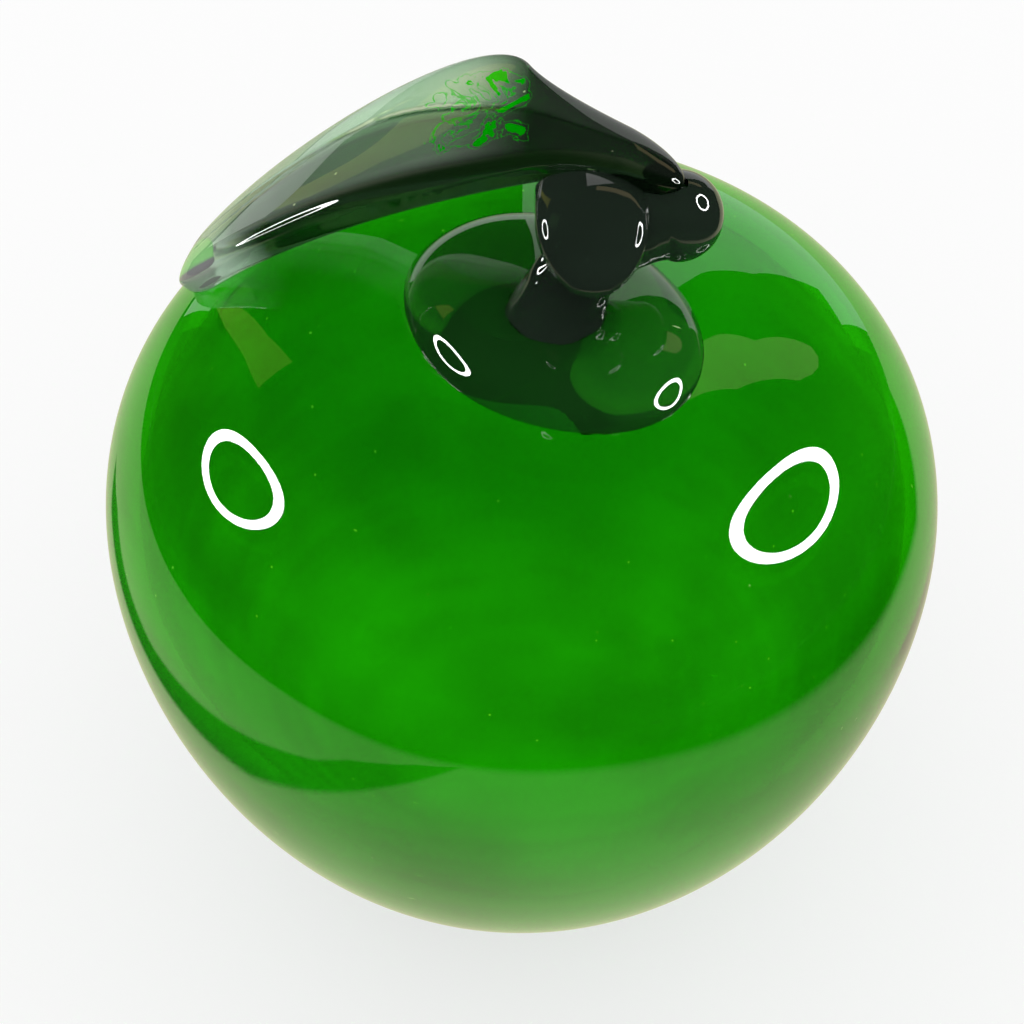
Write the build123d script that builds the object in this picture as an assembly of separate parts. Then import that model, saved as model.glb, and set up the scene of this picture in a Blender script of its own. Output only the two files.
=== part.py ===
from build123d import *
import math
import os

# Art glass apple, millimetres, +Z up. The origin is the centre of the foot, on the table.
# The leaf points towards -X and the bent end of the stem towards +X.

# Blown body
belly_radius = 60.0           # widest circle of the apple
belly_height = 65.0           # widest circle above the table
shoulder_radius = 24.0        # ring at the top of the shoulder, round the dimple
shoulder_height = 102.0       # that ring above the table
foot_radius = 21.0            # outer edge of the ground foot
wall_thickness = 6.0          # glass at the belly
crown_thickness = 8.0         # glass under the shoulder ring, thicker towards the pipe
floor_thickness = 6.0         # glass above the foot, as thick as the wall
dimple_depth = 4.5            # edge of the pipe opening below the shoulder ring
opening_radius = 8.0          # hole left where the body was cracked off the blowpipe
hollow_dip = 1.0              # inner edge of that hole below the top of the hollow
pontil_radius = 14.0          # polished hollow under the foot
pontil_depth = 1.5

# Fullness of the body's quarter curves: 0.55 gives an ellipse, more gives a squarer curve
belly_upper_fullness = 0.63
shoulder_fullness = 0.60
belly_lower_fullness = 0.48
foot_fullness = 0.465

# Pad of dark glass that seals the pipe opening: an oval drop that has sunk into the dimple
pad_length = 46.0
pad_width = 35.6
pad_rise = 4.4                # crown of the pad above the shoulder ring
pad_turn = -54.0              # long axis, degrees from +X
pad_x = 3.9                   # middle of the pad from the body's axis
pad_y = -1.5
pad_sink = 6.0                # underside of the drop below the shoulder ring, before it takes the dimple
pad_rim_run = 2.9             # the soft rim leans in by this much at first,
pad_rim_climb = 3.9           # while it climbs by this much
pad_crown_fullness = 0.6

# Stem drawn up from the pad and bent over to the right
stem_x = 4.8                  # foot of the stem, inside the pad
stem_y = -4.0
stem_foot_rise = 2.6          # foot of the stem above the shoulder ring
stem_radius = 5.0
stem_foot_radius = 8.6        # flare where the stem leaves the pad
stem_neck_radius = 5.6        # where the stem runs into the knob
stem_flare_share = 0.32       # share of the stem that flares
stem_flare_power = 2          # how quickly the flare dies out
stem_sink = 1.6               # the drawn rod starts this much below its foot
stem_rise = 11.9              # centre of the knob above the foot
stem_reach = 14.9             # centre of the knob to the right of the foot
stem_set_back = 6.0           # centre of the knob behind the foot
stem_upright = 11.0           # length over which the direction at the foot holds
stem_level = 6.0              # length over which the direction at the knob holds
stem_sections = 9
knob_radius = 5.9             # round end of the stem

# Leaf: a thick slab, a strap over the knob at one end and a tip on the shoulder at the other
leaf_tip_seat_share = 0.54    # place of the tip on the shoulder curve, from belly to ring
leaf_tip_bearing = 163.0      # direction of the tip from the body's axis, degrees from +X
leaf_tip_width = 9.0
leaf_tip_thickness = 5.0
leaf_tip_sink = 1.5           # the soft tip settles on the body and takes its shape over this depth
leaf_near_thickness = 7.4     # front edge of the slab
leaf_far_thickness = 2.6      # back edge of the slab
leaf_strap_thickness = 5.6
leaf_edge_power = 0.6         # section of the slab: 1 is an ellipse, less is squarer
leaf_strap_pull_share = 0.5   # how far the strap's edges carry on in the blade's direction
strap_round_share = 0.25      # share of the strap that rounds off at its end
blade_round_share = 0.1       # share of the blade that rounds off at its tip
strap_shares = (0.03, 0.1, 0.22, 0.4, 0.7)  # sections along the strap, from its end
blade_shares = (0, 0.2, 0.4, 0.58, 0.73, 0.84, 0.92, 0.965, 0.99)  # and along the blade

# Corners of the leaf's edge curves, measured from the foot of the stem
leaf_near_strap = (14.7, 1.5, 17.4)
leaf_far_strap = (16.2, 9.0, 17.4)
leaf_near_base = (-3.8, 10.8, 14.2)
leaf_far_base = (-3.8, 26.0, 20.4)
leaf_near_bow = (-18.8, 13.6, 8.7)
leaf_far_bow = (-10.1, 36.2, 22.0)
leaf_near_sag = (-37.8, 8.5, 7.4)
leaf_far_sag = (-47.3, 33.4, -5.0)

# Lobe: the fold of the leaf that hangs over the front of the stem, measured from its foot
lobe_width = 14.4
lobe_thickness = 6.4
lobe_edge_power = 0.75
lobe_root = (3.9, 7.0, 14.8)
lobe_bend = (3.9, -2.5, 16.0)
lobe_tip = (3.8, -7.0, 9.4)
lobe_round_share = 0.7        # share of the lobe that rounds off at its tip
lobe_shares = (0, 0.2, 0.4, 0.6, 0.77, 0.9, 0.98)  # sections along the lobe, from its root

section_points = 9            # points on each face of a section of the leaf or the lobe


def bezier(corners, share):
    """Point and direction of the Bezier curve with these corners, at a share of its parameter."""
    points = list(corners)
    while len(points) > 2:
        points = [a + (b - a) * share for a, b in zip(points, points[1:])]
    start, end = points
    return start + (end - start) * share, (end - start).normalized()


def quarter(start, end, start_fullness, end_fullness):
    """Corners, as (radius, height), of a curve that leaves start upright and reaches end level."""
    (start_radius, start_height), (end_radius, end_height) = start, end
    rising = (start_radius, start_height + start_fullness * (end_height - start_height))
    level = (end_radius + end_fullness * (start_radius - end_radius), end_height)
    return [start, rising, level, end]


def dimple(ring, edge):
    """Corners of the dimple's curve, level at the ring and falling to the edge of the opening."""
    return [ring, ((ring[0] + edge[0]) / 2, ring[1]), edge]


def upright(corner):
    """Point in the XZ plane from a (radius, height) pair."""
    return (corner[0], 0, corner[1])


def curve(corners):
    """Bezier edge in the XZ plane through corners given as (radius, height)."""
    return Bezier(*[upright(corner) for corner in corners])


def run(*corners):
    """Straight edges in the XZ plane from corner to corner, given as (radius, height)."""
    return [Line(upright(a), upright(b)) for a, b in zip(corners, corners[1:])]


# Profile of the body, each point as (radius, height)
belly = (belly_radius, belly_height)
shoulder = (shoulder_radius, shoulder_height)
foot = (foot_radius, 0)
opening = (opening_radius, shoulder_height - dimple_depth)
inner_belly = (belly_radius - wall_thickness, belly_height)
inner_shoulder = (shoulder_radius, shoulder_height - crown_thickness)
inner_foot = (foot_radius, floor_thickness)
inner_opening = (opening_radius, inner_shoulder[1] - hollow_dip)
shoulder_corners = quarter(belly, shoulder, belly_upper_fullness, shoulder_fullness)

# Reference points: crown of the pad, foot of the stem in it, and centre of the knob
pad_top = shoulder_height + pad_rise
stem_foot = Vector(stem_x, stem_y, shoulder_height + stem_foot_rise)
knob = stem_foot + Vector(stem_reach, stem_set_back, stem_rise)


def wall_curves(widest, base, ring, edge):
    """Curves of one side of the wall, from the base up to the edge of the opening."""
    lower = quarter(widest, base, belly_lower_fullness, foot_fullness)
    upper = quarter(widest, ring, belly_upper_fullness, shoulder_fullness)
    return [curve(lower), curve(upper), curve(dimple(ring, edge))]


def make_body():
    """Hollow blown apple with an open dimple, a ground foot and a polished hollow under it."""
    sphere_radius = (pontil_radius**2 + pontil_depth**2) / (2 * pontil_depth)
    half_way = pontil_radius / 2
    half_way_height = pontil_depth - sphere_radius + math.sqrt(sphere_radius**2 - half_way**2)
    hollow = ThreePointArc((0, 0, pontil_depth), (half_way, 0, half_way_height), (pontil_radius, 0, 0))
    edges = [hollow]
    edges += run((pontil_radius, 0), foot)
    edges += wall_curves(belly, foot, shoulder, opening)
    edges += run(opening, inner_opening)
    edges += wall_curves(inner_belly, inner_foot, inner_shoulder, inner_opening)
    edges += run(inner_foot, (0, floor_thickness), (0, pontil_depth))
    return revolve(make_face(edges), Axis.Z)


def make_apple_form():
    """The apple as a closed form without its hollow, which shapes what is laid on it hot."""
    edges = run((0, opening[1]), (0, 0), foot)
    edges += wall_curves(belly, foot, shoulder, opening)
    edges += run(opening, (0, opening[1]))
    return revolve(make_face(edges), Axis.Z)


def make_pad(apple_form):
    """Oval drop of glass that fills the dimple and plugs the opening to the inside of the wall."""
    rim = (pad_length / 2, shoulder_height)
    crown = (0, pad_top)
    below = shoulder_height - pad_sink
    lean = (pad_length / 2 - pad_rim_run, shoulder_height + pad_rim_climb)
    level = (pad_crown_fullness * pad_length / 2, pad_top)
    edges = [curve([rim, lean, level, crown])]
    edges += run(crown, (0, below), (pad_length / 2, below), rim)
    drop = scale(revolve(make_face(edges), Axis.Z), by=(1, pad_width / pad_length, 1))
    drop = Pos(pad_x, pad_y, 0) * Rot(0, 0, pad_turn) * drop
    plug_height = opening[1] - inner_opening[1]
    plug = Cylinder(opening_radius, plug_height, align=(Align.CENTER, Align.CENTER, Align.MIN))
    plug = Pos(0, 0, inner_opening[1]) * plug
    return (drop - apple_form) + plug


def stem_radius_at(share):
    """Radius of the stem: a flare that dies out above the foot, then a slow swell to the knob."""
    flare = max(0.0, 1 - share / stem_flare_share) ** stem_flare_power
    swell = share**2
    return stem_radius + (stem_foot_radius - stem_radius) * flare + (stem_neck_radius - stem_radius) * swell


def make_stem():
    """Drawn rod that flares on the pad, bends to the right and ends in a round knob."""
    start = stem_foot - Vector(0, 0, stem_sink)
    path = [
        start,
        start + Vector(0, 0, stem_upright),
        knob - Vector(stem_level, 0, 0),
        knob,
    ]
    sections = []
    for step in range(stem_sections):
        share = step / (stem_sections - 1)
        centre, direction = bezier(path, share)
        sections.append(Plane(origin=centre, z_dir=direction) * Circle(stem_radius_at(share)))
    return loft(sections) + Pos(*knob) * Sphere(knob_radius)


def slab_section(station, power):
    """Face across a slab: a squared oval from the near edge to the far edge, with its thickness at each."""
    near, far, direction, near_thickness, far_thickness = station
    across = far - near
    side = across.normalized()
    plane = Plane(origin=(near + far) / 2, x_dir=side, z_dir=direction - side * direction.dot(side))
    halves = []
    for up in (1, -1):
        points = []
        for step in range(section_points):
            angle = math.pi * step / (section_points - 1)
            place = math.cos(angle)
            thickness = blended(near_thickness, far_thickness, (1 + place) / 2)
            height = up * thickness / 2 * math.sin(angle) ** power
            points.append(plane.from_local_coords((across.length / 2 * place, height, 0)))
        halves.append(Spline(*points, tangents=[plane.y_dir * up, plane.y_dir * -up]))
    return make_face(halves)


def rounded(station, left, length):
    """Station drawn in where less than the length of a rounded end is left before the slab closes."""
    near, far, direction, near_thickness, far_thickness = station
    shrink = math.sqrt(1 - max(0.0, 1 - left / length) ** 2)
    middle = (near + far) / 2
    half = (far - near) * (shrink / 2)
    return middle - half, middle + half, direction, near_thickness * shrink, far_thickness * shrink


def slab(stations, power):
    """Solid through a row of stations."""
    return loft([slab_section(station, power) for station in stations])


def leaf_tip():
    """Seat of the leaf's tip on the shoulder: its point and the outward direction of the body there."""
    place, along = bezier([Vector(*corner) for corner in shoulder_corners], leaf_tip_seat_share)
    bearing = math.radians(leaf_tip_bearing)
    away = Vector(math.cos(bearing), math.sin(bearing), 0)
    return away * place.X + Vector(0, 0, place.Y), away * along.Y - Vector(0, 0, along.X)


def leaf_edges():
    """Corners of the leaf's edge curves, near then far, each as the strap's and the blade's."""
    seat, outward = leaf_tip()
    middle = seat + outward * (leaf_tip_thickness / 2 - leaf_tip_sink)
    sideways = Vector(0, 0, 1).cross(outward).normalized()
    near = (leaf_near_strap, leaf_near_base, leaf_near_bow, leaf_near_sag)
    far = (leaf_far_strap, leaf_far_base, leaf_far_bow, leaf_far_sag)
    edges = []
    for corners, side in ((near, 1), (far, -1)):
        strap, base, bow, sag = [stem_foot + Vector(*corner) for corner in corners]
        tip = middle + sideways * (side * leaf_tip_width / 2)
        carried = base + (base - bow) * leaf_strap_pull_share
        edges.append(([strap, carried, base], [base, bow, sag, tip]))
    return edges


def edge_station(near_corners, far_corners, share, near_thickness, far_thickness):
    """Station of the leaf between its near and far edge curves."""
    near, near_direction = bezier(near_corners, share)
    far, far_direction = bezier(far_corners, share)
    return near, far, (near_direction + far_direction).normalized(), near_thickness, far_thickness


def blended(start, end, share):
    """Value between start and end at a share of the way."""
    return start + (end - start) * share


def make_leaf():
    """Thick leaf: a strap laid over the bent stem, and a blade that comes down on the shoulder."""
    (near_strap, near_blade), (far_strap, far_blade) = leaf_edges()
    stations = []
    for share in strap_shares:
        near_thickness = blended(leaf_strap_thickness, leaf_near_thickness, share)
        far_thickness = blended(leaf_strap_thickness, leaf_far_thickness, share)
        station = edge_station(near_strap, far_strap, share, near_thickness, far_thickness)
        stations.append(rounded(station, share, strap_round_share))
    for share in blade_shares:
        near_thickness = blended(leaf_near_thickness, leaf_tip_thickness, share**2)
        far_thickness = blended(leaf_far_thickness, leaf_tip_thickness, share**2)
        station = edge_station(near_blade, far_blade, share, near_thickness, far_thickness)
        stations.append(rounded(station, 1 - share, blade_round_share))
    return slab(stations, leaf_edge_power)


def make_lobe():
    """Fold of the leaf that hangs forward over the stem, wide below its root and round at its tip."""
    path = [stem_foot + Vector(*corner) for corner in (lobe_root, lobe_bend, lobe_tip)]
    half = Vector(lobe_width / 2, 0, 0)
    stations = []
    for share in lobe_shares:
        centre, direction = bezier(path, share)
        station = (centre - half, centre + half, direction, lobe_thickness, lobe_thickness)
        stations.append(rounded(station, 1 - share, lobe_round_share))
    return slab(stations, lobe_edge_power)


apple_form = make_apple_form()
pad = make_pad(apple_form)
stem = make_stem()
leaf = make_leaf()
lobe = make_lobe()
nodes = {
    "blown_body": make_body(),
    "stem_pad": pad,
    "stem": stem - pad,
    "leaf_blade": leaf - stem - apple_form,
    "leaf_lobe": lobe - leaf - stem,
}

os.makedirs("parts", exist_ok=True)
for name, solid in nodes.items():
    export_step(solid, f"parts/{name}.step")
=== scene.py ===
"""Looks of the art glass apple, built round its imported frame.

Shapes are worked out in millimetres, in the frame's own axes, and turned into metres when a mesh is made.
"""
import logging
import math
from dataclasses import dataclass
from enum import Enum

import bpy
import numpy as np
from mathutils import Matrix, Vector


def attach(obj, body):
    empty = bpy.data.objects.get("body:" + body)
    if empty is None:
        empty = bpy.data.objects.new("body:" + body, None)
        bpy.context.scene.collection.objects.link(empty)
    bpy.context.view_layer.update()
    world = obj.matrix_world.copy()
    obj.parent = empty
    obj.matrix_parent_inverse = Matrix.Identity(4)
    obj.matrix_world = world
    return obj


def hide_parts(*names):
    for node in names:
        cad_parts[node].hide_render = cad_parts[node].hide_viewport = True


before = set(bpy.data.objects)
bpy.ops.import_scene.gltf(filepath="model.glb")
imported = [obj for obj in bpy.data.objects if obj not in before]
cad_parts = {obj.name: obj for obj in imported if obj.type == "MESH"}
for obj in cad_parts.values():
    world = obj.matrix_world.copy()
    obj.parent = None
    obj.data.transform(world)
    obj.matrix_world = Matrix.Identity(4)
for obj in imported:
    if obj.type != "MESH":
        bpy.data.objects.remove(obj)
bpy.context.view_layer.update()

BODY_NAME = "root"
METRES_PER_MM = 0.001
TURN = 2 * math.pi
STATION_REACH = 0.5
ASIDE_WEIGHT = 0.05
BURIED = "buried"
PALE = "pale"
PATCH = "patch"
# Attribute of the painted light: a band round the body's upper side marked for a brighter green.
SIDE_LIGHT = "side_light"
GLOW = "glow"
Array = np.ndarray
log = logging.getLogger("glass_apple")


class Slot(Enum):
    """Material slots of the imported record."""

    GREEN = "green_glass"
    DARK = "dark_glass"


class Node(Enum):
    """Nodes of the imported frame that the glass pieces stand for."""

    BODY = "blown_body"
    PAD = "stem_pad"
    STEM = "stem"
    LEAF = "leaf_blade"
    LOBE = "leaf_lobe"


# Curves and fields


def unit(vectors: Array) -> Array:
    """Vectors scaled to length one, along the last axis."""
    return vectors / np.maximum(np.linalg.norm(vectors, axis=-1, keepdims=True), 1e-12)


def bezier(corners: Array, shares: Array) -> tuple[Array, Array]:
    """Points and directions of a Bezier curve, by repeated blending of neighbouring corners.

    Args:
        corners: corner points, one per row.
        shares: curve parameters from 0 to 1.

    Returns:
        The points and the unit directions, one row per share.
    """
    level = np.repeat(np.asarray(corners, float)[:, None, :], len(shares), axis=1)
    step = np.asarray(shares, float)[:, None]
    while len(level) > 2:
        level = level[:-1] + (level[1:] - level[:-1]) * step
    run = level[1] - level[0]
    return level[0] + run * step, unit(run)


def quarter(start: tuple, end: tuple, start_fullness: float, end_fullness: float) -> Array:
    """Corners of a curve that leaves its start upright and reaches its end level.

    Args:
        start: first point, as (radius, height).
        end: last point.
        start_fullness: share of the height over which the curve stays upright.
        end_fullness: share of the width over which it stays level.

    Returns:
        The four corners, as (radius, height).
    """
    rising = (start[0], start[1] + start_fullness * (end[1] - start[1]))
    level = (end[0] + end_fullness * (start[0] - end[0]), end[1])
    return np.array([start, rising, level, end], float)


def eased(values: Array, start: float, end: float) -> Array:
    """Smooth step: 0 before start, 1 after end, with level tangents between."""
    share = np.clip((values - start) / (end - start), 0, 1)
    return share * share * (3 - 2 * share)


def bell(values: Array, middle: float | Array, width: float) -> Array:
    """Bell curve: the exponential of minus the squared distance from the middle in widths."""
    return np.exp(-(((values - middle) / width) ** 2))


def around(count: int) -> Array:
    """Angles of evenly spaced points round a ring, without the last that would meet the first."""
    return np.linspace(0, TURN, count, endpoint=False)


def nearest_station(points: Array, centres: Array, runs: Array) -> Array:
    """Index of the station whose cross-section plane passes nearest to each point.

    A small weight on the plain distance decides between planes that pass equally near.

    Args:
        points: points to place.
        centres: middles of the stations.
        runs: directions of the path at the stations.

    Returns:
        One index per point.
    """
    gaps = points[:, None] - centres[None]
    along = np.abs(np.einsum("nkj,kj->nk", gaps, runs))
    return np.argmin(along + ASIDE_WEIGHT * np.linalg.norm(gaps, axis=-1), axis=1)


# Meshes


def linked(mesh: bpy.types.Mesh) -> bpy.types.Object:
    """Object of a mesh, at the origin of the scene, with smooth faces.

    Args:
        mesh: the mesh.

    Returns:
        The object.
    """
    mesh.polygons.foreach_set("use_smooth", np.ones(len(mesh.polygons), bool))
    mesh.update()
    item = bpy.data.objects.new(mesh.name, mesh)
    bpy.context.scene.collection.objects.link(item)
    return item


def closed_tube(name: str, rings: Array, first: Array, last: Array) -> bpy.types.Object:
    """Closed mesh from rings of points, with a pole at each end and its faces turned outwards.

    The faces are turned over as a whole where the sum of the signed volumes of their corners is negative.

    Args:
        name: name of the new object.
        rings: points in millimetres, as (ring, place on the ring, axis).
        first: pole before the first ring.
        last: pole after the last ring.

    Returns:
        The object, at the origin, with smooth faces.
    """
    count, columns = rings.shape[:2]
    points = np.vstack([rings.reshape(-1, 3), first, last]) * METRES_PER_MM
    index = np.arange(count * columns).reshape(count, columns)
    beside = np.roll(index, -1, axis=1)
    quads = np.stack([index[:-1], beside[:-1], beside[1:], index[1:]], axis=-1).reshape(-1, 4)
    start_fan = np.stack([beside[0], index[0], np.full(columns, count * columns)], axis=-1)
    end_fan = np.stack([index[-1], beside[-1], np.full(columns, count * columns + 1)], axis=-1)
    fans = np.vstack([start_fan, end_fan])
    corners = points[np.vstack([quads[:, [0, 1, 2]], quads[:, [0, 2, 3]], fans])]
    if np.einsum("ij,ij->i", corners[:, 0], np.cross(corners[:, 1], corners[:, 2])).sum() < 0:
        quads, fans = quads[:, ::-1], fans[:, ::-1]
    mesh = bpy.data.meshes.new(name)
    mesh.from_pydata(points.tolist(), [], quads.tolist() + fans.tolist())
    return linked(mesh)


def stage_sheet(
    name: str, points: Array, round_rows: bool = False, round_columns: bool = False
) -> bpy.types.Object:
    """Stage mesh of a grid of points, whose rows or columns may run round and meet.

    Args:
        name: name of the new object.
        points: points in millimetres, as (row, column, axis).
        round_rows: whether the last row joins the first.
        round_columns: whether the last column joins the first.

    Returns:
        The object, at the origin, with smooth faces.
    """
    rows, columns = points.shape[:2]
    index = np.arange(rows * columns).reshape(rows, columns)
    below, beside = np.roll(index, -1, axis=0), np.roll(index, -1, axis=1)
    quads = np.stack([index, beside, np.roll(beside, -1, axis=0), below], axis=-1)
    quads = quads[: rows if round_rows else rows - 1, : columns if round_columns else columns - 1]
    mesh = bpy.data.meshes.new(name)
    mesh.from_pydata((points.reshape(-1, 3) * METRES_PER_MM).tolist(), [], quads.reshape(-1, 4).tolist())
    item = linked(mesh)
    return item


def give_attribute(item: bpy.types.Object, name: str, values: Array) -> None:
    """Store one number per point of an object's mesh under a name that its material can read."""
    item.data.attributes.new(name, "FLOAT", "POINT").data.foreach_set("value", values.astype(np.float32))


def points_of(item: bpy.types.Object) -> Array:
    """Points of an object's mesh.

    Args:
        item: the object.

    Returns:
        The points in millimetres, one per row.
    """
    flat = np.empty(len(item.data.vertices) * 3, np.float32)
    item.data.vertices.foreach_get("co", flat)
    return flat.reshape(-1, 3).astype(float) / METRES_PER_MM


# Glass pieces


@dataclass
class BlownBody:
    """Hollow blown apple: a wall between two curves of revolution, open at the dimple."""

    belly: tuple = (60.0, 65.0)
    shoulder: tuple = (24.0, 102.0)
    foot: tuple = (21.0, 0.0)
    wall: float = 6.0
    crown: float = 8.0
    floor: float = 6.0
    dimple_depth: float = 4.5
    dimple_radius: float = 17.0
    opening_radius: float = 8.0
    hollow_dip: float = 1.0
    pontil_radius: float = 14.0
    pontil_depth: float = 1.5
    upper_fullness: tuple = (0.63, 0.60)
    lower_fullness: tuple = (0.48, 0.465)
    outer_wander: float = 0.09
    inner_wander: float = 0.25
    # Span, by radius and by height, of the painted light on the body's upper side.
    side_light_radius: tuple = (30.0, 54.0)
    side_light_height: tuple = (52.0, 92.0)
    columns: int = 192

    def side(self, belly: tuple, foot: tuple, shoulder: tuple, dip: float, count: int) -> Array:
        """Profile of one side of the wall from the foot to the edge of the opening.

        Args:
            belly: widest point, as (radius, height).
            foot: lowest point.
            shoulder: point at the top of the shoulder.
            dip: edge of the opening below that point.
            count: points on each of the two long curves.

        Returns:
            Points as (radius, height).
        """
        shares = np.linspace(0, 1, count)
        lower = bezier(quarter(belly, foot, *self.lower_fullness), shares[::-1])[0]
        upper = bezier(quarter(belly, shoulder, *self.upper_fullness), shares)[0]
        edge = (self.opening_radius, shoulder[1] - dip)
        start = (self.dimple_radius, shoulder[1])
        fall = np.array([start, ((start[0] + edge[0]) / 2, start[1]), edge])
        dimple = bezier(fall, np.linspace(0, 1, count // 2))[0]
        return np.vstack([lower, upper[1:], dimple])

    def outer(self) -> Array:
        """Outer profile from the foot to the edge of the opening, as (radius, height)."""
        return self.side(self.belly, self.foot, self.shoulder, self.dimple_depth, 72)

    def inner(self) -> Array:
        """Inner profile from the floor of the hollow to the edge of the opening.

        Returns:
            Points as (radius, height).
        """
        belly = (self.belly[0] - self.wall, self.belly[1])
        foot = (self.foot[0], self.floor)
        shoulder = (self.shoulder[0], self.shoulder[1] - self.crown)
        return self.side(belly, foot, shoulder, self.hollow_dip, 60)

    @staticmethod
    def height_over(profile: Array, radius: Array) -> Array:
        """Height of the upper half of a profile at a distance from the axis."""
        top = profile[np.argmax(profile[:, 0]):][::-1]
        return np.interp(radius, top[:, 0], top[:, 1])

    def height_at(self, radius: Array) -> Array:
        """Height of the body's top surface at a distance from its axis."""
        return self.height_over(self.outer(), radius)

    def depth(self, points: Array) -> Array:
        """Depth of points in the glass of the upper wall: the least of the distances to its faces.

        Args:
            points: points in millimetres.

        Returns:
            Depths, more than 0 inside the glass.
        """
        radius = np.hypot(points[:, 0], points[:, 1])
        below_top = self.height_at(radius) - points[:, 2]
        above_hollow = points[:, 2] - self.height_over(self.inner(), radius)
        above_belly = points[:, 2] - self.belly[1]
        return np.minimum.reduce([below_top, above_hollow, radius - self.opening_radius, above_belly])

    def build(self) -> bpy.types.Object:
        """Mesh of the body: the closed profile turned about Z, whose radius wanders as slow waves round it.

        Its colour lies in the outer skin, so the wall of the hollow is marked as pale. A band round the upper
        side is marked for a brighter green: painted light, standing in for the light that enters the glass
        there.

        Returns:
            The body.
        """
        hollow_radius = np.linspace(0.05, 1, 14) * self.pontil_radius
        hollow_height = self.pontil_depth * (1 - (hollow_radius / self.pontil_radius) ** 2)
        hollow = np.stack([hollow_radius, hollow_height], axis=-1)
        floor_radius = np.linspace(0.9, 0.05, 8) * self.foot[0]
        floor = np.stack([floor_radius, np.full_like(floor_radius, self.floor)], axis=-1)
        outside = np.vstack([hollow, self.outer()])
        inside = np.vstack([self.inner()[::-1], floor])
        radius, height = np.vstack([outside, inside]).T[..., None]
        wander = np.repeat([self.outer_wander, self.inner_wander], [len(outside), len(inside)])[:, None]
        angle = around(self.columns)[None]
        wave = np.sin(2 * angle + height / 23) + 0.6 * np.sin(3 * angle - height / 17 + 1.0)
        radius = radius + wander * wave * np.sin(np.clip(height / self.shoulder[1], 0, 1) * math.pi)
        rings = np.stack([radius * np.cos(angle), radius * np.sin(angle), height + 0 * angle], axis=-1)
        first, last = np.array([0, 0, self.pontil_depth]), np.array([0, 0, self.floor])
        item = closed_tube("apple_body", rings, first, last)
        rows = np.repeat([0.0, 1.0], [len(outside), len(inside)])
        give_attribute(item, PALE, np.append(np.repeat(rows, self.columns), [0.0, 1.0]))
        # Painted light: a band round the upper side marked for a brighter green.
        side_light = eased(outside[:, 0], *self.side_light_radius) * eased(outside[:, 1], *self.side_light_height)
        rows = np.append(side_light, np.zeros(len(inside)))
        give_attribute(item, SIDE_LIGHT, np.append(np.repeat(rows, self.columns), [0.0, 0.0]))
        return item


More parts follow.
